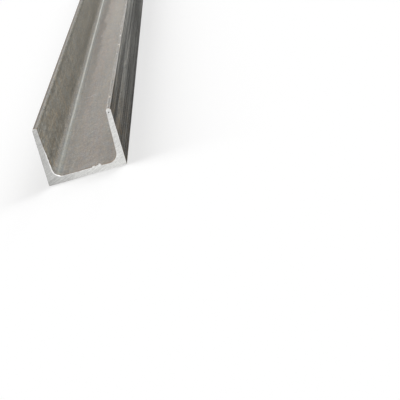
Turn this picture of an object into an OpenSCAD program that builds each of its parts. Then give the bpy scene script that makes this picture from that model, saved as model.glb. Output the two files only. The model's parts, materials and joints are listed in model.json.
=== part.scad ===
// Stainless steel channel: a cut length of hot-rolled bar stock, one piece of steel.
// Its section is a U with a flat web and two flanges whose inner faces lean,
// with a fillet at each root, a rounded tip on each flange and crisp heels.
// It lies on its web. X runs across the web, Y along the bar and Z up.
// The origin is the middle of the web's outer face, at half length.

/* [Bar] */
// Length of the cut piece
bar_length = 1000; // [100:10:6000]

/* [Section] */
// Width over the two flanges, across the web
web_width = 50; // [35:0.5:100]
// Height from the web's outer face to the tips of the flanges
flange_height = 37; // [20:0.5:80]
// Thickness of the web
web_thickness = 4.2; // [3:0.1:10]
// Thickness of a flange at its tip, measured before the tip is rounded
toe_thickness = 3.2; // [2:0.1:8]
// Angle of each flange's inner face from upright, in degrees, thicker towards the web
flange_taper = 3; // [0:0.25:6]

/* [Rounding] */
// Radius of the fillet where the web's inner face meets a flange
root_radius = 5.7; // [1:0.1:8]
// Radius of the tip's edge on the outer side of a flange
toe_outer_radius = 1.5; // [0.3:0.1:3]
// Radius of the tip's edge on the inner side of a flange
toe_inner_radius = 1.4; // [0.3:0.1:3]
// Radius of the heel, the outer edge between the web and a flange
heel_radius = 0.5; // [0.2:0.1:3]

/* [Hidden] */

// Segments of a full circle
arc_segments = 96;

// A disc's bite past a leaning face, so that its arc crosses that face cleanly
bite = 0.001;

// How far an inner face leans for each unit of height, and the length of its normal
lean = tan(flange_taper);
lean_length = sqrt(1 + lean * lean);

// How far a disc's centre lies from the sharp corner that it rounds, for each unit of radius
corner_reach = lean_length - lean;

// Half the width over the flanges, and half the gap between the sharp inner edges of the tips
half_width = web_width / 2;
half_mouth = half_width - toe_thickness;

// The two rounded edges of a thin tip share its thickness
toe_room = toe_thickness / 2;
toe_outer = min(toe_outer_radius, toe_room);
toe_inner = min(toe_inner_radius, toe_room);

// A fillet reaches no further than the middle of the web, or up to a tip's rounding
half_floor = half_mouth - lean * (flange_height - web_thickness);
wall_rise = flange_height - web_thickness - 2 * toe_inner;
root = min(root_radius, half_floor / corner_reach, wall_rise);

// Centres of the four kinds of rounded corner, on the +X side
heel_centre = [half_width - heel_radius, heel_radius];
toe_outer_centre = [half_width - toe_outer, flange_height - toe_outer];
toe_inner_centre = [half_mouth + toe_inner * corner_reach - bite, flange_height - toe_inner];
root_centre = [half_floor - root * corner_reach + bite, web_thickness + root];

// Point on the +X flange's inner face at a height
function inner_face(height) = [half_mouth - lean * (flange_height - height), height];

// Heights at which that face runs into the tip's rounding and into the root fillet
face_top = toe_inner_centre.y + toe_inner * lean / lean_length;
face_bottom = root_centre.y - root * lean / lean_length;

// The +X side of the outline, with a straight chord across each rounded corner
side_outline = [
    [heel_centre.x, 0],
    [half_width, heel_centre.y],
    [half_width, toe_outer_centre.y],
    [toe_outer_centre.x, flange_height],
    [toe_inner_centre.x, flange_height],
    inner_face(face_top),
    inner_face(face_bottom),
    [root_centre.x, web_thickness],
];

// The other side is its mirror image, taken backwards to go on round the outline
other_side_outline = [
    for (i = [len(side_outline) - 1 : -1 : 0]) [-side_outline[i].x, side_outline[i].y]
];

// A full disc at a rounded corner on each side of the section
module corner_discs(centre, radius) {
    for (side = [-1, 1])
        translate([side * centre.x, centre.y])
        circle(r = radius, $fn = arc_segments);
}

// The section, drawn in X and Y with the flanges towards +Y.
// Discs fill the outer corners and hollow out the root fillets.
module section() {
    difference() {
        union() {
            polygon(concat(side_outline, other_side_outline));
            corner_discs(heel_centre, heel_radius);
            corner_discs(toe_outer_centre, toe_outer);
            corner_discs(toe_inner_centre, toe_inner);
        }
        corner_discs(root_centre, root);
    }
}

// The bar, sawn square at both ends
module channel() {
    color([0.62, 0.61, 0.59])
    rotate([90, 0, 0])
    linear_extrude(height = bar_length, center = true)
    section();
}

channel();
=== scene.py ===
"""Stainless steel channel: the looks of one cut length of hot-rolled, pickled bar stock.

The bar lies on its web, flanges up: X across the web, Y along the bar, Z up, in metres.
"""

import json
import math

import bpy
from bpy.props import FloatProperty, FloatVectorProperty, IntProperty, PointerProperty
from mathutils import Euler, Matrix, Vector


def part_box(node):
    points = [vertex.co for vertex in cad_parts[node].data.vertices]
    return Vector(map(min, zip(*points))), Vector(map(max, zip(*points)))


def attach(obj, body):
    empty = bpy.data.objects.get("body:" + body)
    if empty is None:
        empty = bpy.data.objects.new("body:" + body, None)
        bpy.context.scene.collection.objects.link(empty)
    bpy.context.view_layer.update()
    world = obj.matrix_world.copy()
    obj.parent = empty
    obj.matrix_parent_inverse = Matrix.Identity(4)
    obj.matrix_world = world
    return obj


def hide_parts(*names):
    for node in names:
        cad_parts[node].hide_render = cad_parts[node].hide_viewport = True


bl_info = {
    "name": "Stainless Steel Channel",
    "version": (1, 0, 0),
    "blender": (4, 5, 0),
    "location": "View3D > Sidebar > Channel",
    "description": "Builds a cut length of hot-rolled stainless steel channel in a plain studio",
    "category": "Add Mesh",
}

MM = 0.001
NODE = "channel"
CREASE_ANGLE = math.radians(25.0)
FLOOR_GLOW = 0.52
FLOOR_REACH = 12.0
FLOOR_DROP = 0.1 * MM

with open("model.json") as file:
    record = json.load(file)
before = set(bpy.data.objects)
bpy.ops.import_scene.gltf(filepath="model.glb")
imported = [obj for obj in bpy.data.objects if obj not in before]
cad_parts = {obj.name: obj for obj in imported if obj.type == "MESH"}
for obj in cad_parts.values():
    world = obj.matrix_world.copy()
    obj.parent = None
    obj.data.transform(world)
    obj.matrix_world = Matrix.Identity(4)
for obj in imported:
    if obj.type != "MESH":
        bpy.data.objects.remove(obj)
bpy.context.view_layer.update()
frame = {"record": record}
BAR_LOW, BAR_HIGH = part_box(NODE)
BAR_SIZE = BAR_HIGH - BAR_LOW
MOUNT_PLACES = {mount["name"]: mount["pos_m"] for mount in frame["record"]["mounts"]}
WEB_THICKNESS = MOUNT_PLACES["web_inside"][2]


# --- Sizes, colours and places that a user would change ---


def length_property(name, text, default, low=0.0):
    """A size in metres, shown in the file's own units."""
    return FloatProperty(name=name, description=text, default=default, min=low, precision=5,
                         subtype="DISTANCE", unit="LENGTH")


def colour_property(name, text, default):
    """A linear colour."""
    return FloatVectorProperty(name=name, description=text, default=default, min=0.0, max=1.0,
                               subtype="COLOR")


class SectionSizes(bpy.types.PropertyGroup):
    """Sizes of the rolled section and of the cut length."""

    bar_length: length_property("Length", "Length of the cut piece", BAR_SIZE.y)
    web_width: length_property("Web width", "Width over the two flanges", BAR_SIZE.x)
    flange_height: length_property("Flange height", "Web's back to the flange tips", BAR_SIZE.z)
    web_thickness: length_property("Web thickness", "Thickness of the web", WEB_THICKNESS)
    toe_thickness: length_property("Toe thickness", "Thickness of a flange at its tip", 3.2 * MM)
    flange_taper: FloatProperty(name="Flange taper", description="Lean of a flange's inner face",
                                default=math.radians(3.0), subtype="ANGLE", unit="ROTATION")
    root_radius: length_property("Root radius", "Fillet between web and flange", 5.7 * MM)
    toe_outer_radius: length_property("Toe outer radius", "Tip's edge, outer side", 1.5 * MM)
    toe_inner_radius: length_property("Toe inner radius", "Tip's edge, inner side", 1.4 * MM)
    heel_radius: length_property("Heel radius", "Outer edge of web and flange", 0.5 * MM)


class SawnEndSizes(bpy.types.PropertyGroup):
    """What the saw leaves at the cut ends."""

    edge_break: length_property("Edge break", "Width of the worn edge of a cut", 0.12 * MM)
    wobble: length_property("Edge wobble", "How far a cut edge wanders", 0.20 * MM)
    tooth_height: length_property("Tooth height", "Torn teeth on the web's cut edge", 0.75 * MM)
    burr_height: length_property("Burr height", "The one large burr on the web's cut edge", 1.4 * MM)
    burr_width: length_property("Burr width", "Half width of the large burr", 0.9 * MM)
    burr_depth: length_property("Burr depth", "How far a burr runs back along the bar", 1.0 * MM)
    # The lip's brightness is a painted highlight in the sawn finish.
    lip_height: length_property("Lip height", "Bright lip round the left root's cut edge", 0.35 * MM)
    burr_place: length_property("Burr place", "Large burr, across from the middle", 8.7 * MM, -1.0)
    torn_width: length_property("Torn width", "Length of the torn edge beside the burr", 7.0 * MM)
    seed: IntProperty(name="Seed", description="Changes the chance shapes of the cut", default=7)


class MeshDetail(bpy.types.PropertyGroup):
    """How finely the bar is divided."""

    flat_step: length_property("Flat step", "Step across an outer face, twice an inner", 0.6 * MM)
    arc_steps: IntProperty(name="Arc steps", description="Steps round each rounded corner",
                           default=8, min=2)
    rings: IntProperty(name="Rings", description="Rings along the bar", default=111, min=5)
    crowding: FloatProperty(name="Crowding", default=2.4, min=1.0,
                            description="How strongly the rings crowd towards the cut ends")


class FinishColours(bpy.types.PropertyGroup):
    """Colours of the rolled skin and of the sawn steel."""

    skin: colour_property("Skin", "Pickled mill skin", (0.387, 0.352, 0.306))
    skin_cool: colour_property("Cool skin", "Cooler grains of the skin", (0.338, 0.336, 0.331))
    stain: colour_property("Stain", "Brown tint left along edges", (0.215, 0.150, 0.100))
    sawn: colour_property("Sawn", "Fresh sawn steel", (0.640, 0.640, 0.625))


class StageSettings(bpy.types.PropertyGroup):
    """Camera, floor and the light from all around."""

    aim: FloatVectorProperty(name="Aim", description="Point on the floor that the camera faces",
                             default=(0.0688, -0.6401, 0.0), subtype="XYZ", unit="LENGTH")
    distance: length_property("Distance", "Camera to aim point", 0.9530)
    azimuth: FloatProperty(name="Azimuth", description="Camera's turn from the bar's line",
                           default=math.radians(2.82), subtype="ANGLE", unit="ROTATION")
    elevation: FloatProperty(name="Elevation", description="Camera's height over the floor",
                             default=math.radians(13.58), subtype="ANGLE", unit="ROTATION")
    roll: FloatProperty(name="Roll", description="Camera's tilt about its own line",
                        default=math.radians(-16.21), subtype="ANGLE", unit="ROTATION")
    lens: FloatProperty(name="Lens", description="Focal length in millimetres", default=160.0)
    floor: colour_property("Floor", "Pale studio floor", (0.50, 0.50, 0.50))
    world: colour_property("World", "Light from all around", (0.25, 0.25, 0.25))


# --- Node trees ---


class Graph:
    """A node tree being built. Its methods add a node and give back what the node puts out."""

    def __init__(self, tree):
        self.tree = tree

    def add(self, kind, inputs=None, **settings):
        """Adds a node, sets its own settings, then fills its inputs by name or by place."""
        node = self.tree.nodes.new(kind)
        for name, value in settings.items():
            setattr(node, name, value)
        for place, value in (inputs or {}).items():
            self.feed(node.inputs[place], value)
        return node

    def feed(self, socket, value):
        """Links another node's output to an input, or sets the input to a plain value."""
        if isinstance(value, bpy.types.NodeSocket):
            self.tree.links.new(value, socket)
        else:
            socket.default_value = value

    def math(self, operation, *values, clamp=False):
        """Does arithmetic on values, as the Math node names it."""
        node = self.add("ShaderNodeMath", dict(enumerate(values)), operation=operation)
        node.use_clamp = clamp
        return node.outputs[0]

    def vector(self, operation, *values, scale=None):
        """Does arithmetic on vectors, as the Vector Math node names it."""
        node = self.add("ShaderNodeVectorMath", dict(enumerate(values)), operation=operation)
        if scale is not None:
            self.feed(node.inputs["Scale"], scale)
        return node.outputs["Value" if operation in {"LENGTH", "DISTANCE", "DOT_PRODUCT"} else 0]

    def product(self, *values):
        """Multiplies any number of values."""
        result = values[0]
        for value in values[1:]:
            result = self.math("MULTIPLY", result, value)
        return result

    def combine(self, x=0.0, y=0.0, z=0.0):
        """Joins three values into a vector."""
        return self.add("ShaderNodeCombineXYZ", {0: x, 1: y, 2: z}).outputs[0]

    def separate(self, value):
        """Parts a vector into its three values."""
        return self.add("ShaderNodeSeparateXYZ", {0: value}).outputs[:3]

    def remap(self, value, low, high, to_low=0.0, to_high=1.0, smooth=False):
        """Carries low..high over to to_low..to_high, and holds the value beyond both ends."""
        kind = "SMOOTHSTEP" if smooth else "LINEAR"
        inputs = {0: value, 1: low, 2: high, 3: to_low, 4: to_high}
        return self.add("ShaderNodeMapRange", inputs, interpolation_type=kind).outputs[0]

    def noise(self, place, scale, detail=2.0, roughness=0.5):
        """Smooth chance values about a half; the scale is blotches to a unit of the place."""
        inputs = {"Vector": place, "Scale": scale, "Detail": detail, "Roughness": roughness}
        return self.add("ShaderNodeTexNoise", inputs, noise_dimensions="3D").outputs[0]

    def blend(self, factor, first, second):
        """Mixes two colours."""
        node = self.add("ShaderNodeMix", {0: factor, 6: first, 7: second}, data_type="RGBA")
        return node.outputs[2]

    def group(self, tree, **inputs):
        """Places a shader node group; an input's name has underscores for spaces."""
        named = {name.replace("_", " "): value for name, value in inputs.items()}
        return self.add("ShaderNodeGroup", named, node_tree=tree).outputs


def new_tree(name, kind, inputs, outputs):
    """A node group with the named sockets given as (name, kind, default) and (name, kind)."""
    tree = bpy.data.node_groups.new(name, kind)
    for label, socket_kind, default in inputs:
        socket = tree.interface.new_socket(name=label, in_out="INPUT", socket_type=socket_kind)
        if default is not None:
            socket.default_value = default
    for label, socket_kind in outputs:
        tree.interface.new_socket(name=label, in_out="OUTPUT", socket_type=socket_kind)
    graph = Graph(tree)
    start = graph.add("NodeGroupInput").outputs
    end = graph.add("NodeGroupOutput").inputs
    return tree, graph, start, end


FLOAT, INTEGER, VECTOR = "NodeSocketFloat", "NodeSocketInt", "NodeSocketVector"
GEOMETRY, MATERIAL = "NodeSocketGeometry", "NodeSocketMaterial"


# --- The bar's shape ---


def corner_choice(graph, kind, values):
    """Gives each of the outline's corners its own value, in the order of the values."""
    node = graph.add("GeometryNodeIndexSwitch", {0: graph.add("GeometryNodeInputIndex").outputs[0]},
                     data_type=kind)
    while len(node.index_switch_items) < len(values):
        node.index_switch_items.new()
    for place, value in enumerate(values, start=1):
        graph.feed(node.inputs[place], value)
    return node.outputs[0]


def section_outline(graph, size):
    """The U section as a closed curve, with its width along X and its height down Y.

    A sweep along Y turns the curve's down into the bar's up. Its eight sharp corners run round
    from the left heel, and each gets its own radius.
    """
    half = graph.math("MULTIPLY", size["Web Width"], 0.5)
    mouth = graph.math("SUBTRACT", half, size["Toe Thickness"])
    rise = graph.math("SUBTRACT", size["Flange Height"], size["Web Thickness"])
    lean = graph.math("TANGENT", size["Flange Taper"])
    floor = graph.math("SUBTRACT", mouth, graph.math("MULTIPLY", lean, rise))
    tip, web = size["Flange Height"], size["Web Thickness"]
    right_side = [(half, 0.0, size["Heel Radius"]), (half, tip, size["Toe Outer Radius"]),
                  (mouth, tip, size["Toe Inner Radius"]), (floor, web, size["Root Radius"])]
    left_side = [(graph.math("MULTIPLY", across, -1.0), height, radius)
                 for across, height, radius in reversed(right_side)]
    corners = left_side[-1:] + right_side + left_side[:-1]
    across, height, radius = (corner_choice(graph, "FLOAT", values) for values in zip(*corners))
    down = graph.math("MULTIPLY", height, -1.0)
    ring = graph.add("GeometryNodeCurvePrimitiveCircle", {"Resolution": len(corners)}).outputs[0]
    sharp = graph.add("GeometryNodeSetPosition",
                      {0: ring, "Position": graph.combine(across, down)}).outputs[0]
    rounded = graph.add("GeometryNodeFilletCurve",
                        {0: sharp, "Count": size["Arc Steps"], "Radius": radius}, mode="POLY")
    inner = within(graph, size, *curve_place(graph))
    step = graph.math("MULTIPLY", size["Flat Step"], graph.math("MULTIPLY_ADD", inner, -0.5, 1.0))
    return divided_flats(graph, rounded.outputs[0], step)


def curve_place(graph):
    """Where an outline's point lies: its distance from the middle, and its height."""
    across, down, _ = graph.separate(graph.add("GeometryNodeInputPosition").outputs[0])
    return graph.math("ABSOLUTE", across), graph.math("MULTIPLY", down, -1.0)


def within(graph, size, side, height):
    """One on the inside of the U, and nought on its outer faces and flange tips."""
    half = graph.math("MULTIPLY", size["Web Width"], 0.5)
    mouth = graph.math("SUBTRACT", half, size["Toe Thickness"])
    clear = 0.3 * MM
    narrow = graph.math("LESS_THAN", side, graph.math("ADD", mouth, clear))
    above = graph.math("GREATER_THAN", height, graph.math("SUBTRACT", size["Web Thickness"], clear))
    return graph.math("MULTIPLY", narrow, above)


def divided_flats(graph, curve, step):
    """Divides the straight stretches of a closed curve into steps of about this length."""
    position = graph.add("GeometryNodeInputPosition").outputs[0]
    index = graph.add("GeometryNodeInputIndex").outputs[0]
    points = graph.add("GeometryNodeAttributeDomainSize", {0: curve}, component="CURVE").outputs[0]
    following = graph.math("MODULO", graph.math("ADD", index, 1.0), points)
    ahead = graph.add("GeometryNodeFieldAtIndex", {0: position, 1: following},
                      data_type="FLOAT_VECTOR", domain="POINT").outputs[0]
    stretch = graph.vector("DISTANCE", position, ahead)
    cuts = graph.math("FLOOR", graph.math("DIVIDE", stretch, step))
    return graph.add("GeometryNodeSubdivideCurve", {0: curve, 1: cuts}).outputs[0]


def with_outward(graph, outline):
    """Stores on the outline the way out of the steel, as the swept bar will have it."""
    tangent = graph.add("GeometryNodeInputTangent").outputs[0]
    along_width, down, _ = graph.separate(tangent)
    outward = graph.combine(graph.math("MULTIPLY", down, -1.0), 0.0,
                            graph.math("MULTIPLY", along_width, -1.0))
    return graph.add("GeometryNodeStoreNamedAttribute",
                     {0: outline, "Name": "outward", "Value": outward},
                     data_type="FLOAT_VECTOR", domain="POINT").outputs[0]


def bar_path(graph, size):
    """A line along the bar whose points crowd towards both cut ends."""
    line = graph.add("GeometryNodeCurvePrimitiveLine", {"Start": (0, -1, 0), "End": (0, 1, 0)})
    points = graph.add("GeometryNodeResampleCurve", {0: line.outputs[0], "Count": size["Rings"]},
                       mode="COUNT").outputs[0]
    _, along, _ = graph.separate(graph.add("GeometryNodeInputPosition").outputs[0])
    to_end = graph.math("SUBTRACT", 1.0, graph.math("ABSOLUTE", along), clamp=True)
    eased = graph.math("SUBTRACT", 1.0, graph.math("POWER", to_end, size["Crowding"]))
    half = graph.math("MULTIPLY", size["Bar Length"], 0.5)
    place = graph.math("MULTIPLY", graph.math("SIGN", along), graph.math("MULTIPLY", eased, half))
    return graph.add("GeometryNodeSetPosition",
                     {0: points, "Position": graph.combine(0.0, place)}).outputs[0]


def sawn_edges(graph, mesh, size):
    """Breaks the edges of both cuts, lets them wander, and raises the saw's burrs on them.

    The faces that the saw has torn bright are marked in the mesh as torn.
    """
    position = graph.add("GeometryNodeInputPosition").outputs[0]
    outward = graph.add("GeometryNodeInputNamedAttribute", {0: "outward"},
                        data_type="FLOAT_VECTOR").outputs[0]
    across, along, height = graph.separate(position)
    half = graph.math("MULTIPLY", size["Bar Length"], 0.5)
    gap = graph.math("SUBTRACT", half, graph.math("ABSOLUTE", along))
    place = graph.vector("ADD", position, graph.combine(size["Seed"], graph.math("SIGN", along)))

    worn = graph.remap(gap, 0.0, size["Edge Break"], size["Edge Break"], 0.0)
    wander_fade = 2.5 * MM
    near = graph.remap(gap, 0.0, wander_fade, 1.0, 0.0, smooth=True)
    wander = graph.product(graph.noise(place, 420.0, 3.0, 0.6), size["Wobble"], near)
    inward = graph.math("ADD", worn, wander)

    inside = within(graph, size, graph.math("ABSOLUTE", across), height)
    burrs = graph.math("MAXIMUM", web_burrs(graph, size, across, place),
                       root_lip(graph, size, across, height, outward, place))
    reach = graph.remap(gap, 0.0, size["Burr Depth"], 1.0, 0.0)
    raised = graph.product(burrs, reach, inside)
    shift = graph.math("SUBTRACT", raised, inward)
    least_torn = 0.15 * MM
    torn = graph.math("GREATER_THAN", raised, least_torn)
    named = graph.add("GeometryNodeStoreNamedAttribute", {0: mesh, "Name": "torn", "Value": torn},
                      data_type="BOOLEAN", domain="FACE").outputs[0]
    return graph.add("GeometryNodeSetPosition",
                     {0: named, "Offset": graph.vector("SCALE", outward, scale=shift)}).outputs[0]


def web_burrs(graph, size, across, place):
    """The heights of the large burr and of the torn teeth beside it, on the web's upper edge."""
    from_burr = graph.math("SUBTRACT", across, size["Burr Place"])
    share = graph.math("DIVIDE", from_burr, size["Burr Width"])
    bell = graph.math("EXPONENT", graph.math("MULTIPLY", graph.math("POWER", share, 2.0), -1.0))
    lump = graph.math("MULTIPLY", bell, size["Burr Height"])
    start = graph.remap(from_burr, graph.math("MULTIPLY", size["Torn Width"], -1.0),
                        graph.math("MULTIPLY", size["Torn Width"], -0.6))
    stop = graph.remap(from_burr, -0.5 * MM, 0.0, 1.0, 0.0)
    jagged = graph.remap(graph.noise(place, 700.0, 1.0), 0.40, 0.60)
    teeth = graph.product(start, stop, jagged, size["Tooth Height"])
    return graph.math("ADD", lump, teeth)


def root_lip(graph, size, across, height, outward, place):
    """The height of the lip that the saw turns up round the left root; its brightness is a painted
    highlight in the sawn finish.
    """
    facing = graph.math("GREATER_THAN", graph.separate(outward)[0], 0.15)
    left = graph.math("LESS_THAN", across, 0.0)
    low = graph.remap(height, 18.0 * MM, 25.0 * MM, 1.0, 0.0)
    uneven = graph.remap(graph.noise(place, 420.0, 2.0), 0.40, 0.60, 0.3, 1.2)
    return graph.product(facing, left, low, uneven, size["Lip Height"])


def crisp_shading(graph, mesh, angle):
    """Smooth faces, with a sharp edge wherever two of them meet at more than this angle."""
    smooth = graph.add("GeometryNodeSetShadeSmooth", {0: mesh, "Shade Smooth": True},
                       domain="FACE").outputs[0]
    turn = graph.add("GeometryNodeInputMeshEdgeAngle").outputs[0]
    sharp = graph.math("GREATER_THAN", turn, angle)
    return graph.add("GeometryNodeSetShadeSmooth",
                     {0: smooth, "Selection": sharp, "Shade Smooth": False},
                     domain="EDGE").outputs[0]


def channel_tree():
    """Geometry Nodes that roll the section along the bar and saw its ends."""
    floats = ("Bar Length", "Web Width", "Flange Height", "Web Thickness", "Toe Thickness",
              "Flange Taper", "Root Radius", "Toe Outer Radius", "Toe Inner Radius", "Heel Radius",
              "Edge Break", "Wobble", "Tooth Height", "Burr Height", "Burr Width", "Burr Depth",
              "Burr Place", "Torn Width", "Lip Height", "Flat Step", "Crowding")
    inputs = [(name, FLOAT, 0.0) for name in floats]
    inputs += [("Arc Steps", INTEGER, 8), ("Rings", INTEGER, 100), ("Seed", INTEGER, 0),
               ("Skin", MATERIAL, None), ("Sawn", MATERIAL, None)]
    tree, graph, size, end = new_tree("Rolled Channel", "GeometryNodeTree", inputs,
                                      [("Geometry", GEOMETRY)])
    outline = with_outward(graph, section_outline(graph, size))
    bar = graph.add("GeometryNodeCurveToMesh",
                    {0: bar_path(graph, size), 1: outline, "Fill Caps": True}).outputs[0]
    bar = graph.add("GeometryNodeFlipFaces", {0: bar}).outputs[0]
    bar = sawn_edges(graph, bar, size)
    bar = crisp_shading(graph, bar, CREASE_ANGLE)
    bar = graph.add("GeometryNodeRealizeInstances", {0: bar}).outputs[0]
    skinned = graph.add("GeometryNodeSetMaterial", {0: bar, "Material": size["Skin"]}).outputs[0]
    normal = graph.add("GeometryNodeInputNormal").outputs["True Normal"]
    facing_end = graph.math("GREATER_THAN", graph.math("ABSOLUTE", graph.separate(normal)[1]), 0.5)
    torn = graph.add("GeometryNodeInputNamedAttribute", {0: "torn"}, data_type="BOOLEAN").outputs[0]
    fresh = graph.math("MAXIMUM", facing_end, torn)
    sawn = graph.add("GeometryNodeSetMaterial",
                     {0: skinned, "Selection": fresh, "Material": size["Sawn"]}).outputs[0]
    for name in ("torn", "outward"):
        sawn = graph.add("GeometryNodeRemoveAttribute", {0: sawn, "Name": name}).outputs[0]
    graph.feed(end[0], sawn)
    return tree


def grown_mesh(name, tree, values):
    """Runs a Geometry Nodes tree once and keeps what it makes as a plain mesh object."""
    piece = bpy.data.objects.new(name, bpy.data.meshes.new(name))
    bpy.context.collection.objects.link(piece)
    modifier = piece.modifiers.new(name, "NODES")
    modifier.node_group = tree
    for socket in tree.interface.items_tree:
        if socket.in_out == "INPUT":
            modifier[socket.identifier] = values[socket.name]
    depsgraph = bpy.context.evaluated_depsgraph_get()
    mesh = bpy.data.meshes.new_from_object(piece.evaluated_get(depsgraph))
    if not mesh.polygons:
        raise RuntimeError(f"{name} came out empty")
    piece.modifiers.remove(modifier)
    piece.data = mesh
    mesh.name = name
    return piece


# --- Finishes ---
#
# Lengths are in millimetres here. A share says how much lighter or darker a place or mark is than
# the rest: 0.2 is a fifth lighter, and -0.2 a fifth darker. Bands and lines swing both ways, by
# half of their share.

BRIGHT_RIM = (0.95, 0.95, 0.94, 1.0)
PIT_DARK = (0.03, 0.03, 0.03, 1.0)
PIT_FROM_SIDE, PIT_FROM_TIP = 1.7, 2.7

# The scratch on the web is the near part of a ring. Its numbers hold where Y is closed up to a
# quarter, so on the bar the ring is four times as long as it is wide.
SCRATCH_CLOSENESS = 0.25
SCRATCH_CENTRE = (-9.9, -53.7)
SCRATCH_RING = (7.5, 7.7)
SCRATCH_SIDES = (-12.8, -5.2)
SCRATCH_FADE = (-58.9, -58.5)

STEADY_SHARES = {
    # Painted light lifting the foot of the left flange against its shade.
    "root_painted_light": 0.10,
    # Painted light: the flanges' inner faces are painted a little lighter against their shade.
    "flange": 0.09,
    "flange_light": 0.03,
    "flange_dark": -0.10,
    "outer_light": 0.52,
    "outer_top": 1.2,
    "toe_left": -0.36,
    "toe_outer": -0.30,
    "toe_corner": -0.12,
    # Painted shade in the strip just under each tip's inner edge.
    "toe_under_shade": -0.16,
    "scuffs": 0.50,
    "scratch": 0.30,
    "bands": 1.0,
    "lines": 0.5,
    # Bright specks along the tips: real nicks and beads, made smoother, with painted glints on them.
    "nicks_and_glints": 0.55,
    "beads_and_glints": 1.1,
}
# From the near cut: where the share starts to change, where it stops, and what it is there.
CHANGING_SHARES = (
    # Painted light: the web is painted lighter further from the near cut, following how the light
    # falls along the bar.
    ("web", 60.0, 650.0, -0.02, 0.27),
    # Painted light on the web's right part, where the right flange's shade falls, stronger further
    # from the near cut.
    ("web_painted_light", 60.0, 500.0, 0.08, 0.22),
    # Painted shade on the left root's fillet, deepest by the near cut.
    ("fillet_painted_shade", 20.0, 250.0, -0.24, -0.10),
    # Painted highlight: the light line along the left root's fillet, stronger further from the near
    # cut.
    ("root_painted_highlight", 20.0, 250.0, 0.06, 0.46),
    ("root_painted_highlight", 350.0, 600.0, 0.0, 0.14),
    ("root_shade", 60.0, 400.0, -0.08, -0.30),
    # Painted shade on the web at the left root's foot: a slight lift by the near cut, darker further
    # along.
    ("root_foot_shade", 150.0, 550.0, 0.05, -0.24),
    # Painted shade: the flanges' outer sides are painted much darker, a little less so further from
    # the near cut.
    ("outer", 0.0, 150.0, -0.63, -0.58),
    ("toe_right", 0.0, 200.0, -0.40, -0.20),
)
# How much stronger or weaker the grain is on a place than elsewhere.
GRAIN_SHARES = {"flange": 0.3, "web": -0.25, "outer": 1.3, "fillet_painted_shade": -0.5}


class Profile:
    """The section's sizes in millimetres, as the finishes read them."""

    def __init__(self, section):
        self.half = section.web_width / 2 / MM
        self.mouth = self.half - section.toe_thickness / MM
        self.web = section.web_thickness / MM
        self.tip = section.flange_height / MM
        self.root = section.root_radius / MM
        self.lean = math.tan(section.flange_taper)
        self.end = section.bar_length / 2 / MM
        root_top = self.mouth - self.lean * (self.tip - self.web - self.root)
        self.root_centre = root_top - self.root / math.cos(section.flange_taper)


def streaks_group():
    """Fine lines along Y: a value about a half, as wide and as long as given in millimetres."""
    inputs = [("Position", VECTOR, None), ("Width", FLOAT, 1.0), ("Length", FLOAT, 60.0),
              ("Detail", FLOAT, 3.0)]
    tree, graph, start, end = new_tree("Drawn Streaks", "ShaderNodeTree", inputs,
                                       [("Value", FLOAT)])
    finer = graph.math("DIVIDE", 1.0, start["Width"])
    along = graph.math("DIVIDE", 1.0, start["Length"])
    place = graph.vector("MULTIPLY", start["Position"], graph.combine(finer, along, finer))
    graph.feed(end[0], graph.noise(place, 1.0, start["Detail"], 0.55))
    return tree


def speckle_group():
    """Close-set grains of the given size in millimetres: a value about a half."""
    inputs = [("Position", VECTOR, None), ("Size", FLOAT, 1.0), ("Contrast", FLOAT, 2.0)]
    tree, graph, start, end = new_tree("Etched Speckle", "ShaderNodeTree", inputs,
                                       [("Value", FLOAT)])
    scale = graph.math("DIVIDE", 1.0, start["Size"])
    centred = graph.math("SUBTRACT", graph.noise(start["Position"], scale, 3.0, 0.65), 0.5)
    graph.feed(end[0], graph.math("MULTIPLY_ADD", centred, start["Contrast"], 0.5, clamp=True))
    return tree


def position_in_mm(graph):
    """Object coordinates in millimetres, and their three parts."""
    place = graph.add("ShaderNodeTexCoord").outputs["Object"]
    scaled = graph.vector("SCALE", place, scale=1.0 / MM)
    return scaled, graph.separate(scaled)


def shader_graph(name, colour):
    """A fresh material with its Principled shader, ready to be wired."""
    material = bpy.data.materials.new(name)
    material.use_nodes = True
    material.diffuse_color = (*colour, 1.0)
    graph = Graph(material.node_tree)
    shader = material.node_tree.nodes["Principled BSDF"]
    return material, graph, shader


def add_relief(graph, shader, height, depth):
    """Bumps a shader's surface by a height that varies over it, times a depth in metres."""
    bump = graph.add("ShaderNodeBump", {"Height": height, "Distance": depth, "Strength": 1.0})
    graph.feed(shader.inputs["Normal"], bump.outputs[0])


def about_one(graph, value, depth):
    """Turns a value about a half into a factor about one."""
    return graph.math("MULTIPLY_ADD", graph.math("SUBTRACT", value, 0.5), depth, 1.0)


def weighted(graph, layers):
    """Adds up values about a half by their weights: a value about nought."""
    total = 0.0
    for value, weight in layers:
        total = graph.math("MULTIPLY_ADD", graph.math("SUBTRACT", value, 0.5), weight, total)
    return total


def with_share(graph, mask, share):
    """Turns a mask into a factor: one where the mask is nought, and one and the share on it."""
    return graph.math("MULTIPLY_ADD", mask, share, 1.0)


def scaled_tone(graph, tone, factor):
    """Makes a colour lighter or darker by a factor."""
    return graph.vector("MULTIPLY", tone, graph.combine(factor, factor, factor))


def band(graph, value, low, high, soft):
    """One between two values, fading to nought over a soft edge outside them."""
    rise = graph.remap(value, low - soft, low, smooth=True)
    fall = graph.remap(value, high, high + soft, 1.0, 0.0, smooth=True)
    return graph.product(rise, fall)


def on_left(graph, across):
    """One on the bar's left half, seen from the near cut, and nought on its right."""
    return graph.remap(across, -0.1, 0.1, 1.0, 0.0)


def slanted(graph, place, axis, degrees):
    """The same place, turned, so that streaks drawn there run aslant."""
    return graph.add("ShaderNodeVectorRotate", {"Vector": place, "Angle": math.radians(degrees)},
                     rotation_type=axis).outputs[0]


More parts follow.
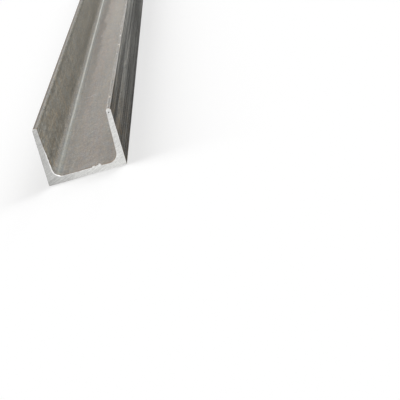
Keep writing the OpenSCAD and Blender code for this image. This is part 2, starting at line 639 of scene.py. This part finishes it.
def drawn_out(graph, place, closeness):
    """The same place, closed up along Y, so that what is drawn there is long along the bar."""
    return graph.vector("MULTIPLY", place, (1.0, closeness, 1.0))


def root_place(graph, profile, across, height):
    """Round the nearer root's centre: the turn down from level in degrees, and the distance."""
    outward = graph.math("SUBTRACT", graph.math("ABSOLUTE", across), profile.root_centre)
    downward = graph.math("SUBTRACT", profile.web + profile.root, height)
    turn = graph.math("DEGREES", graph.math("ARCTAN2", downward, outward))
    return turn, graph.vector("LENGTH", graph.combine(outward, downward))


def root_zones(graph, profile, across, height, waver, inside):
    """Masks round the roots, by the turn: nought degrees at the flange, and 90 at the web."""
    turn, _ = root_place(graph, profile, across, height)
    ragged = graph.math("MULTIPLY_ADD", waver, 90.0, turn)
    left = graph.product(inside, on_left(graph, across))
    return {
        "root": graph.product(inside, band(graph, turn, 25.0, 85.0, 10.0)),
        # Painted light on the upper part of the left fillet, where it meets the flange.
        "root_painted_light": graph.product(left, band(graph, turn, 4.0, 24.0, 10.0)),
        # Painted shade over the left root's fillet; its grain is also calmer and its hue a little
        # cooler.
        "fillet_painted_shade": graph.product(left, band(graph, turn, 42.0, 74.0, 9.0)),
        # Painted highlight: a light line along the left root's fillet, which is also made smoother.
        "root_painted_highlight": graph.product(left, band(graph, turn, 46.5, 54.0, 5.0)),
        "root_shade": graph.product(left, band(graph, turn, 60.0, 80.0, 4.0)),
        # Painted shade on the web at the foot of the left root.
        "root_foot_shade": graph.product(left, graph.remap(turn, 72.0, 84.0),
                                   graph.remap(ragged, 122.0, 136.0, 1.0, 0.0, smooth=True)),
    }


def face_zones(graph, profile, across, height, waver, inside):
    """Masks on the web, on the flanges' inner faces and on their outer sides."""
    half, web, tip = profile.half, profile.web, profile.tip
    moved = graph.math("MULTIPLY_ADD", waver, 5.0, height)
    flange = graph.product(inside, graph.remap(height, web + 2.0, web + 6.0, smooth=True))
    # The outer sides carry painted shade through this mask, as well as their own streaks.
    outer = graph.remap(graph.math("ABSOLUTE", across), half - 0.6, half - 0.1)
    return {
        "web": graph.product(inside, graph.remap(height, web + 0.2, web + 0.7, 1.0, 0.0)),
        # Painted light on the web beside the right root, against the right flange's shade.
        "web_painted_light": graph.product(inside, graph.remap(across, 5.0, 15.0, smooth=True),
                                   graph.remap(height, web + 4.0, web + 6.0, 1.0, 0.0)),
        "flange": flange,
        "flange_light": graph.product(flange, band(graph, moved, 23.0, 29.0, 4.0)),
        "flange_dark": graph.product(flange, band(graph, moved, 12.0, 17.0, 4.0)),
        "outer": outer,
        "outer_light": graph.product(outer, band(graph, moved, 19.0, 25.0, 5.0)),
        "outer_top": graph.product(outer, graph.remap(height, tip - 9.0, tip - 2.5),
                                   graph.remap(height, tip - 1.5, tip - 1.0, 1.0, 0.0)),
    }


def toe_zones(graph, profile, across, height, inside):
    """Masks on the flange tips and just under them."""
    half, tip = profile.half, profile.tip
    side = graph.math("ABSOLUTE", across)
    left = on_left(graph, across)
    right = graph.math("SUBTRACT", 1.0, left)
    top = graph.remap(height, tip - 0.5, tip - 0.1)
    corner = band(graph, height, tip - 1.7, tip - 0.9, 0.3)
    return {
        "toe_left": graph.product(graph.remap(height, tip - 1.1, tip - 0.6), left),
        "toe_right": graph.product(top, right, graph.remap(side, half - 1.9, half - 1.3)),
        "toe_corner": graph.product(corner, inside, left),
        # Band on the right tip where the beads and their painted glints lie.
        "toe_bead_glint_band": graph.product(top, right, band(graph, side, half - 1.8, half - 1.1, 0.3)),
        # Painted shade just under each tip's inner edge.
        "toe_under_shade": graph.product(inside, band(graph, height, tip - 3.2, tip - 2.0, 0.8)),
        "toe_outer": graph.product(graph.remap(height, tip - 2.2, tip - 1.6),
                                   graph.remap(side, half - 1.7, half - 1.2), left),
    }


def section_zones(graph, profile, across, height, waver):
    """Masks for places on the section that are lighter or darker: partly the skin's own tone, partly
    painted light, shade and highlight.

    The waver, a value about nought, moves some of their edges to and fro along the bar.
    """
    side = graph.math("ABSOLUTE", across)
    inside = graph.product(graph.remap(side, profile.mouth + 0.3, profile.mouth + 0.6, 1.0, 0.0),
                           graph.remap(height, profile.web - 1.0, profile.web - 0.5))
    return {
        **root_zones(graph, profile, across, height, waver, inside),
        **face_zones(graph, profile, across, height, waver, inside),
        **toe_zones(graph, profile, across, height, inside),
    }


def rolled_grain(graph, groups, place):
    """The skin's light and dark: streaks along the bar, blotches and grains."""
    streaks = groups["streaks"]
    drawn = drawn_out(graph, place, 0.3)
    layers = [
        (graph.group(streaks, Position=place, Width=6.0, Length=240.0)[0], 0.22),
        (graph.group(streaks, Position=place, Width=1.8, Length=70.0)[0], 0.30),
        (graph.group(streaks, Position=place, Width=0.7, Length=22.0)[0], 0.45),
        (graph.noise(place, 0.05, 4.0, 0.6), 0.15),
        (graph.noise(drawn, 0.25, 3.0, 0.6), 0.30),
        (graph.group(groups["speckle"], Position=drawn, Size=1.0, Contrast=3.5)[0], 0.40),
    ]
    return weighted(graph, layers)


def scuff_marks(graph, groups, place):
    """Faint bright rubs that run aslant on the flanges and on the web."""
    marks = []
    for axis, degrees, width, length in (("X_AXIS", 42.0, 0.6, 20.0), ("X_AXIS", 58.0, 0.5, 12.0),
                                         ("Z_AXIS", 32.0, 0.5, 16.0)):
        turned = slanted(graph, place, axis, degrees)
        streak = graph.group(groups["streaks"], Position=turned, Width=width, Length=length)[0]
        marks.append(graph.remap(streak, 0.57, 0.68, smooth=True))
    return graph.math("MAXIMUM", graph.math("MAXIMUM", marks[0], marks[1]), marks[2])


def web_scratch(graph, profile, place):
    """One pale scratch on the web: the near part of a ring, cut off at both its sides."""
    closed_up = drawn_out(graph, place, SCRATCH_CLOSENESS)
    reach = graph.vector("DISTANCE", closed_up, (*SCRATCH_CENTRE, profile.web))
    across, along, _ = graph.separate(closed_up)
    return graph.product(band(graph, reach, *SCRATCH_RING, 0.3),
                         band(graph, across, *SCRATCH_SIDES, 0.8),
                         graph.remap(along, *SCRATCH_FADE, 1.0, 0.0))


def skin_marks(graph, groups, profile, place, run, zones):
    """Masks for the marks that lie about the bar by chance, and for its one scratch."""
    streaks = groups["streaks"]
    rubbed = graph.remap(graph.noise(place, 0.055, 2.0, 0.5), 0.42, 0.56, 0.45, 1.0, smooth=True)
    chips = graph.remap(graph.noise(drawn_out(graph, place, 0.22), 0.4, 2.0, 0.6), 0.50, 0.60,
                        smooth=True)
    dots = graph.remap(graph.noise(drawn_out(graph, place, 0.25), 0.5, 1.0, 0.5), 0.62, 0.65,
                       smooth=True)
    raised = graph.vector("ADD", place, (0.0, 0.0, -8.0))
    bands = graph.group(streaks, Position=raised, Width=2.4, Length=450.0)[0]
    lines = graph.group(streaks, Position=place, Width=0.9, Length=300.0)[0]
    return {
        "scuffs": graph.product(scuff_marks(graph, groups, place),
                                with_share(graph, zones["outer"], -1.0),
                                graph.remap(run, 60.0, 300.0, 1.0, 0.4), rubbed),
        "scratch": web_scratch(graph, profile, place),
        # The tips' bright specks: real nicks and beads with painted glints on them.
        "nicks_and_glints": graph.product(zones["toe_corner"], chips),
        "beads_and_glints": graph.product(zones["toe_bead_glint_band"], dots),
        "bands": graph.product(zones["outer"], graph.remap(bands, 0.38, 0.62, -0.5, 0.5)),
        "lines": graph.product(zones["outer"], graph.remap(lines, 0.36, 0.64, -0.5, 0.5)),
    }


def brown_film(graph, place, run, masks):
    """A thin brown film in leaning streaks, on the flanges more than on the web."""
    leaning = drawn_out(graph, slanted(graph, place, "X_AXIS", -19.0), 0.16)
    film = graph.remap(graph.noise(leaning, 0.42, 4.0, 0.65), 0.46, 0.62, 0.0, 0.4)
    strength = graph.math("MULTIPLY_ADD", masks["flange"], 0.85, 0.12)
    strength = graph.math("MULTIPLY_ADD", masks["outer"],
                          graph.remap(run, 20.0, 200.0, 1.6, 0.2), strength)
    return graph.product(film, strength, graph.remap(run, 40.0, 400.0, 1.2, 0.5),
                         with_share(graph, masks["scuffs"], -0.9))


def skin_colour(graph, colours, groups, place, run, masks):
    """The skin's hue: warm and cool grains, and a tint for each place and mark."""
    shifted = graph.vector("ADD", drawn_out(graph, place, 0.3), (70.0, 0.0, 30.0))
    coolness = graph.remap(graph.noise(shifted, 0.4, 4.0, 0.75), 0.38, 0.62)
    tone = graph.blend(coolness, (*colours.skin, 1.0), (*colours.skin_cool, 1.0))
    flow = graph.group(groups["streaks"], Position=place, Width=3.4, Length=320.0)[0]
    flow = graph.product(masks["web"], graph.remap(flow, 0.42, 0.62, smooth=True))
    tints = (
        (masks["flange"], (0.99, 1.02, 0.995)),
        (masks["outer"], (0.97, 1.02, 1.035)),
        (flow, (1.0, 0.965, 0.965)),
        (brown_film(graph, place, run, masks), (1.28, 0.98, 0.68)),
        (masks["fillet_painted_shade"], (0.95, 1.0, 1.0)),
        (masks["scuffs"], (0.95, 1.0, 1.04)),
    )
    for mask, tint in tints:
        tone = graph.blend(mask, tone, graph.vector("MULTIPLY", tone, tint))
    return tone


def brown_edges(graph, profile, place, along, toe_outer):
    """Where brown stain is left: along both cuts, and on the left tip's outer edge."""
    patchy = graph.remap(graph.noise(place, 0.22, 3.0, 0.6), 0.38, 0.62, 0.4, 0.9)
    gap = graph.math("SUBTRACT", profile.end, graph.math("ABSOLUTE", along))
    at_cut = graph.product(graph.remap(gap, 0.3, 3.5, 1.0, 0.0, smooth=True), patchy)
    return graph.math("MAXIMUM", graph.product(toe_outer, patchy, 0.7), at_cut)


def skin_roughness(graph, masks, run, uneven):
    """Rougher and smoother with the grain, and smoother where the skin is rubbed or rolled hard."""
    line = graph.product(masks["root_painted_highlight"], graph.remap(run, 20.0, 250.0, 0.25, 1.0, smooth=True))
    rough = graph.math("MULTIPLY_ADD", uneven, 0.5, 0.58, clamp=True)
    for mask, change in ((line, -0.22), (masks["nicks_and_glints"], -0.2), (masks["beads_and_glints"], -0.2)):
        rough = graph.math("MULTIPLY_ADD", mask, change, rough)
    return graph.math("MULTIPLY_ADD", masks["outer"], -0.12, rough, clamp=True)


def pickled_skin(colours, profile, groups):
    """Hot-rolled skin after pickling: warm grey, streaked along the bar, brown at its edges."""
    material, graph, shader = shader_graph("pickled_skin", colours.skin)
    place, (across, along, height) = position_in_mm(graph)
    run = graph.math("ADD", along, profile.end)
    waver = graph.math("SUBTRACT", graph.noise(drawn_out(graph, place, 0.3), 0.12, 4.0, 0.6), 0.5)
    masks = section_zones(graph, profile, across, height, waver)
    masks.update(skin_marks(graph, groups, profile, place, run, masks))

    strength = 1.0
    for name, share in GRAIN_SHARES.items():
        strength = graph.math("MULTIPLY_ADD", masks[name], share, strength)
    grain = graph.math("MULTIPLY", rolled_grain(graph, groups, place), strength)
    # Some of these shares paint light, shade and a highlight line rather than the skin's own tone,
    # as noted at STEADY_SHARES and CHANGING_SHARES.
    shares = [(masks[name], share) for name, share in STEADY_SHARES.items()]
    shares += [(masks[name], graph.remap(run, *change)) for name, *change in CHANGING_SHARES]
    factor = graph.product(with_share(graph, grain, 1.0),
                           *(with_share(graph, mask, share) for mask, share in shares))
    tone = skin_colour(graph, colours, groups, place, run, masks)
    tone = scaled_tone(graph, tone, factor)
    stain = brown_edges(graph, profile, place, along, masks["toe_outer"])
    graph.feed(shader.inputs["Base Color"], graph.blend(stain, tone, (*colours.stain, 1.0)))

    metal = graph.math("MULTIPLY_ADD", masks["outer"], 0.35, 0.65)
    graph.feed(shader.inputs["Metallic"], metal)
    shader.inputs["Specular IOR Level"].default_value = 0.3
    shader.inputs["Specular Tint"].default_value = (0.2, 0.2, 0.2, 1.0)
    uneven = graph.product(grain, with_share(graph, masks["root"], -0.85))
    graph.feed(shader.inputs["Roughness"], skin_roughness(graph, masks, run, uneven))
    add_relief(graph, shader, uneven, 0.06 * MM)
    return material


def depth_from_inside(graph, profile, across, height):
    """How deep in the steel a place on a cut lies, measured from the inside of the U.

    Gives back the depth, and the turn round the nearer root's centre in degrees.
    """
    side = graph.math("ABSOLUTE", across)
    turn, reach = root_place(graph, profile, across, height)
    from_flange = graph.math("MULTIPLY_ADD", graph.math("SUBTRACT", profile.tip, height),
                             profile.lean, graph.math("SUBTRACT", side, profile.mouth))
    from_root = graph.math("SUBTRACT", reach, profile.root)
    from_web = graph.math("SUBTRACT", profile.web, height)
    above = graph.math("LESS_THAN", turn, 0.0)
    beside = graph.math("GREATER_THAN", turn, 90.0)
    straight = graph.math("ADD", graph.product(above, from_flange), graph.product(beside, from_web))
    between = graph.math("SUBTRACT", 1.0, graph.math("ADD", above, beside))
    return graph.math("MULTIPLY_ADD", between, from_root, straight), turn


def cut_rims(graph, profile, across, height):
    """Where a cut's edges get a painted highlight, on the saw's lip round the left root, along the
    web's lower edge and up the right flange's outer edge, and where the skin's brown scale shows in
    it.
    """
    depth, turn = depth_from_inside(graph, profile, across, height)
    lip = graph.product(on_left(graph, across), graph.remap(depth, 0.30, 0.60, 1.0, 0.0),
                        graph.remap(height, 20.0, 26.0, 1.0, 0.0),
                        graph.remap(turn, 84.0, 92.0, 1.0, 0.0))
    back = graph.product(graph.remap(height, 0.30, 0.60, 1.0, 0.0), graph.remap(across, -9.0, 5.0))
    outer = graph.product(graph.remap(across, profile.half - 0.5, profile.half - 0.3),
                          graph.remap(height, 2.0, 6.0, 0.0, 0.6))
    # Painted highlight on the cut's edges: the lip is real, its brightness painted.
    bright = graph.math("MAXIMUM", lip, graph.math("MAXIMUM", back, outer))
    brown = graph.product(graph.remap(across, 9.0, 12.0), graph.remap(depth, 0.25, 0.50, 1.0, 0.0),
                          graph.remap(height, 20.0, 26.0, 1.0, 0.3))
    return bright, brown


def saw_pit(graph, profile, place):
    """The small pit near the right tip of the near cut: a painted highlight round its rim, and
    painted shade in its hole.
    """
    middle = (profile.half - PIT_FROM_SIDE, -profile.end, profile.tip - PIT_FROM_TIP)
    reach = graph.vector("DISTANCE", place, middle)
    reach = graph.math("MULTIPLY_ADD", graph.noise(place, 1.4, 2.0, 0.5), 0.9, reach)
    ring = graph.product(graph.remap(reach, 1.05, 1.25, 1.0, 0.0), 0.7)
    hole = graph.remap(reach, 0.75, 0.95, 1.0, 0.0)
    return ring, hole


def sawn_steel(colours, profile, groups):
    """Fresh cut steel: bright, with the saw's fine slanting marks and one small pit. Light across
    it, highlights on its edges and shade in the pit are painted.
    """
    material, graph, shader = shader_graph("sawn_steel", colours.sawn)
    place, (across, _, height) = position_in_mm(graph)
    half = profile.half

    crosswise = slanted(graph, slanted(graph, place, "Y_AXIS", -68.0), "X_AXIS", 90.0)
    marks = graph.group(groups["streaks"], Position=crosswise, Width=0.55, Length=14.0)[0]
    clouds = graph.noise(place, 0.16, 3.0, 0.6)
    speckle = graph.group(groups["speckle"], Position=place, Size=0.9)[0]
    # Painted light: the cut is painted darker at its left and lighter towards its right, and a
    # little darker again on the right flange.
    light = graph.product(graph.remap(across, -half, half * 0.3, 0.78, 1.22),
                          graph.remap(across, half * 0.72, half * 0.9, 1.0, 0.90))
    depth = graph.remap(across, -half, half, 1.10, 0.65)
    factor = graph.product(light, about_one(graph, marks, depth), about_one(graph, clouds, 0.18),
                           about_one(graph, speckle, 0.30))
    tone = scaled_tone(graph, tuple(colours.sawn), factor)
    bright, brown = cut_rims(graph, profile, across, height)
    ring, hole = saw_pit(graph, profile, place)
    # Painted highlight on the cut's edges.
    tone = graph.blend(bright, tone, BRIGHT_RIM)
    tone = graph.blend(graph.product(brown, 0.8), tone, (*colours.stain, 1.0))
    # Painted highlight round the pit's rim, and painted shade in its hole.
    tone = graph.blend(ring, tone, BRIGHT_RIM)
    tone = graph.blend(hole, tone, PIT_DARK)
    graph.feed(shader.inputs["Base Color"], tone)

    shader.inputs["Metallic"].default_value = 1.0
    rough = graph.math("MULTIPLY_ADD", graph.math("SUBTRACT", marks, 0.5), 0.3, 0.42)
    graph.feed(shader.inputs["Roughness"], rough)
    add_relief(graph, shader, graph.math("MULTIPLY_ADD", hole, -6.0, marks), 0.04 * MM)
    return material


# --- Stage ---


def seen_directly(graph):
    """One for camera, mirror and see-through rays, and nought for the light they bring."""
    path = graph.add("ShaderNodeLightPath").outputs
    seen = graph.math("ADD", path["Is Camera Ray"], path["Is Glossy Ray"], clamp=True)
    return graph.math("ADD", seen, path["Is Transmission Ray"], clamp=True)


def floor_material(colour):
    """A pale floor that looks white where it is lit and keeps the bar's shadow."""
    material, graph, shader = shader_graph("studio_floor", colour)
    shader.inputs["Base Color"].default_value = (*colour, 1.0)
    shader.inputs["Roughness"].default_value = 1.0
    shader.inputs["Specular IOR Level"].default_value = 0.0
    shader.inputs["Emission Color"].default_value = (1.0, 1.0, 1.0, 1.0)
    graph.feed(shader.inputs["Emission Strength"],
               graph.math("MULTIPLY", seen_directly(graph), FLOOR_GLOW))
    return material


def add_floor(colour):
    """A level square far wider than the bar, just under it."""
    mesh = bpy.data.meshes.new("studio_floor")
    corners = [(x * FLOOR_REACH, y * FLOOR_REACH, -FLOOR_DROP)
               for x, y in ((-1, -1), (1, -1), (1, 1), (-1, 1))]
    mesh.from_pydata(corners, [], [(0, 1, 2, 3)])
    floor = bpy.data.objects.new("studio_floor", mesh)
    floor.data.materials.append(floor_material(colour))
    bpy.context.collection.objects.link(floor)


def add_world(colour):
    """Even light from all around, seen as white."""
    world = bpy.data.worlds.new("studio")
    world.use_nodes = True
    graph = Graph(world.node_tree)
    background = world.node_tree.nodes["Background"]
    tone = graph.blend(seen_directly(graph), (*colour, 1.0), (1.0, 1.0, 1.0, 1.0))
    graph.feed(background.inputs["Color"], tone)
    background.inputs["Strength"].default_value = 1.0
    bpy.context.scene.world = world


def direction(azimuth, elevation):
    """The way towards a lamp or camera: azimuth turns from -Y towards +X, elevation lifts it."""
    level = math.cos(elevation)
    return Vector((math.sin(azimuth) * level, -math.cos(azimuth) * level, math.sin(elevation)))


def add_lamp(name, azimuth, elevation, strength, spread):
    """A far lamp that lights the whole stage evenly; a wider spread, in degrees, is softer."""
    data = bpy.data.lights.new(name, "SUN")
    data.energy = strength
    data.angle = math.radians(spread)
    lamp = bpy.data.objects.new(name, data)
    towards = direction(math.radians(azimuth), math.radians(elevation))
    lamp.location = towards * 3.0
    lamp.rotation_mode = "QUATERNION"
    lamp.rotation_quaternion = towards.to_track_quat("Z", "Y")
    bpy.context.collection.objects.link(lamp)


def add_camera(stage):
    """A long lens that looks down the bar from its near end."""
    data = bpy.data.cameras.new("camera")
    data.lens = stage.lens
    camera = bpy.data.objects.new("camera", data)
    back = direction(stage.azimuth, stage.elevation)
    camera.location = Vector(stage.aim) + back * stage.distance
    facing = (-back).to_track_quat("-Z", "Y")
    camera.rotation_mode = "QUATERNION"
    camera.rotation_quaternion = facing @ Euler((0.0, 0.0, stage.roll)).to_quaternion()
    data.clip_start, data.clip_end = 0.01, 100.0
    bpy.context.collection.objects.link(camera)
    bpy.context.scene.camera = camera


# --- Operators, panel and registration ---


class CHANNEL_OT_bar(bpy.types.Operator):
    """Roll the section along the bar, saw its ends and give it its finish"""

    bl_idname = "channel.bar"
    bl_label = "Build the Bar"

    def execute(self, context):
        scene = context.scene
        section, ends, detail = scene.channel_section, scene.channel_ends, scene.channel_detail
        groups = {"streaks": streaks_group(), "speckle": speckle_group()}
        values = {}
        for sizes in (section, ends, detail):
            for name in sizes.__annotations__:
                values[name.replace("_", " ").title()] = getattr(sizes, name)
        profile = Profile(section)
        values["Skin"] = pickled_skin(scene.channel_colours, profile, groups)
        values["Sawn"] = sawn_steel(scene.channel_colours, profile, groups)
        bar = grown_mesh("channel_bar", channel_tree(), values)
        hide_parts(NODE)
        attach(bar, "root")
        return {"FINISHED"}


class CHANNEL_OT_stage(bpy.types.Operator):
    """Set the floor, the lamps and the camera"""

    bl_idname = "channel.stage"
    bl_label = "Set the Stage"

    def execute(self, context):
        stage = context.scene.channel_stage
        add_floor(stage.floor)
        add_world(stage.world)
        add_lamp("key", azimuth=-100.0, elevation=50.0, strength=1.6, spread=60.0)
        add_lamp("back", azimuth=145.0, elevation=40.0, strength=1.5, spread=40.0)
        add_lamp("far", azimuth=172.0, elevation=16.0, strength=0.18, spread=5.0)
        add_camera(stage)
        context.scene.view_settings.view_transform = "Standard"
        return {"FINISHED"}


class CHANNEL_PT_panel(bpy.types.Panel):
    """Lists what the channel is made with"""

    bl_label = "Stainless Steel Channel"
    bl_idname = "CHANNEL_PT_panel"
    bl_space_type = "VIEW_3D"
    bl_region_type = "UI"
    bl_category = "Channel"

    def draw(self, context):
        for operator, setting_names in PANEL_ROWS:
            column = self.layout.column(align=True)
            for setting in setting_names:
                settings = getattr(context.scene, setting)
                for name in settings.__annotations__:
                    column.prop(settings, name)
            column.operator(operator.bl_idname)


PANEL_ROWS = (
    (CHANNEL_OT_bar, ("channel_section", "channel_ends", "channel_detail", "channel_colours")),
    (CHANNEL_OT_stage, ("channel_stage",)),
)
SETTINGS = {
    "channel_section": SectionSizes,
    "channel_ends": SawnEndSizes,
    "channel_detail": MeshDetail,
    "channel_colours": FinishColours,
    "channel_stage": StageSettings,
}
CLASSES = (*SETTINGS.values(), CHANNEL_OT_bar, CHANNEL_OT_stage, CHANNEL_PT_panel)


def register():
    """Makes the settings, the operators and the panel known to Blender."""
    for item in CLASSES:
        bpy.utils.register_class(item)
    for name, group in SETTINGS.items():
        setattr(bpy.types.Scene, name, PointerProperty(type=group))


def unregister():
    """Takes them away again, in the opposite order."""
    for name in SETTINGS:
        delattr(bpy.types.Scene, name)
    for item in reversed(CLASSES):
        bpy.utils.unregister_class(item)


def main():
    """Builds everything."""
    register()
    bpy.ops.channel.bar()
    bpy.ops.channel.stage()


if __name__ == "__main__":
    main()
